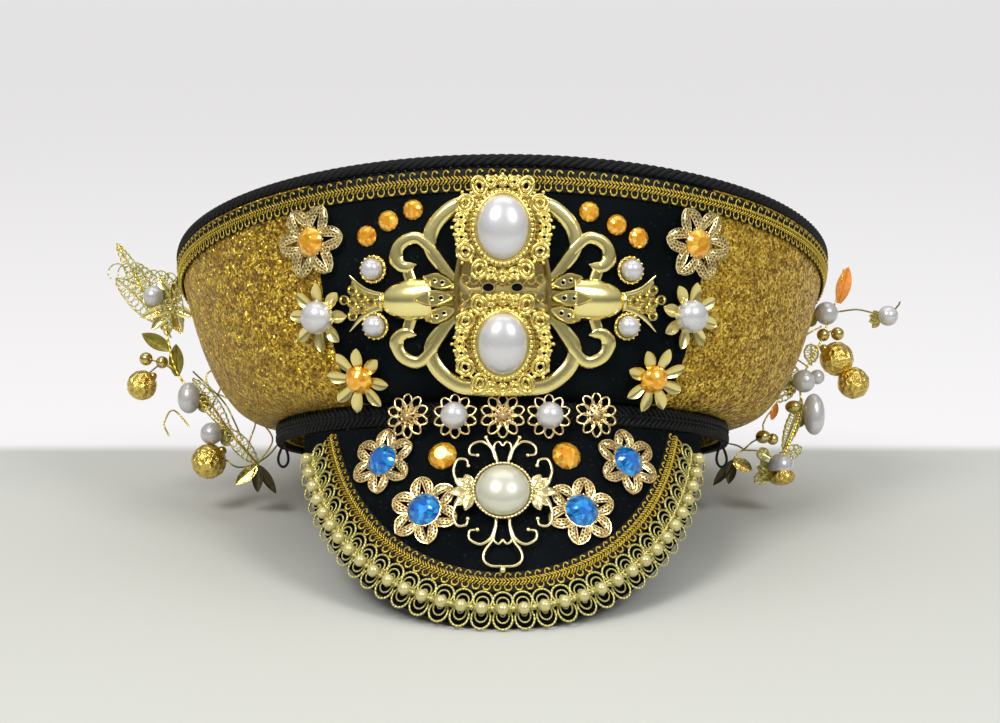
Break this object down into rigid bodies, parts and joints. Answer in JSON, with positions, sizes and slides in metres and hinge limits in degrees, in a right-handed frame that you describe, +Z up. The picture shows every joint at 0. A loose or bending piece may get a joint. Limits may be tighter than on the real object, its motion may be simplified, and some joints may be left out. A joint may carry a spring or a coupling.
{
  "type": "costume tiara in the form of a peaked stage cap",
  "caption": "Jewelled stage headpiece: a flared peaked cap on a head ring, black front, glitter sides, pearl and filigree ornaments, side sprays.",
  "frame": {"origin": "centre of the whole object's box, on the surface it rests on", "axes": "+Z up from the surface, +X to the viewer's right across the cap, -Y towards the front with the peak"},
  "size_m": [0.3416, 0.2828, 0.1636],
  "materials": {
    "black_velvet": "bluish black velvet",
    "black_braid": "black twisted braid",
    "glitter_cloth": "coarse gold glitter",
    "gold_metal": "polished pale gold plate",
    "gold_thread": "metallic gold thread trim",
    "pearl": "white pearl lustre",
    "orange_glass": "faceted orange rhinestone"
  },
  "bodies": {
    "root": {"front_panel": "black_velvet", "top_panel": "black_velvet", "peak": "black_velvet", "top_edge_braid": "black_braid", "head_band": "black_braid", "thread_loop_left": "black_braid", "thread_loop_right": "black_braid", "side_panel_left": "glitter_cloth", "side_panel_right": "glitter_cloth", "scroll_plate": "gold_metal", "upper_setting": "gold_metal", "lower_setting": "gold_metal", "pearl_stud_upper_left": "gold_metal", "pearl_stud_upper_right": "gold_metal", "pearl_stud_lower_left": "gold_metal", "pearl_stud_lower_right": "gold_metal", "filigree_flower_left": "gold_metal", "filigree_flower_right": "gold_metal", "pearl_daisy_left": "gold_metal", "pearl_daisy_right": "gold_metal", "orange_daisy_left": "gold_metal", "orange_daisy_right": "gold_metal", "row_daisy_1": "gold_metal", "row_daisy_2": "gold_metal", "row_daisy_3": "gold_metal", "row_daisy_4": "gold_metal", "row_daisy_5": "gold_metal", "blue_flower_upper_left": "gold_metal", "blue_flower_upper_right": "gold_metal", "blue_flower_lower_left": "gold_metal", "blue_flower_lower_right": "gold_metal", "peak_filigree": "gold_metal", "spray_left": "gold_metal", "spray_right": "gold_metal", "top_gimp": "gold_thread", "peak_gimp": "gold_thread", "peak_lace": "gold_thread", "upper_pearl": "pearl", "lower_pearl": "pearl", "peak_pearl": "pearl", "peak_edge_pearls": "pearl", "orange_stone_left_outer": "orange_glass", "orange_stone_left_middle": "orange_glass", "orange_stone_left_inner": "orange_glass", "orange_stone_right_inner": "orange_glass", "orange_stone_right_middle": "orange_glass", "orange_stone_right_outer": "orange_glass", "peak_stone_left": "orange_glass", "peak_stone_right": "orange_glass"}
  },
  "joints": []
}
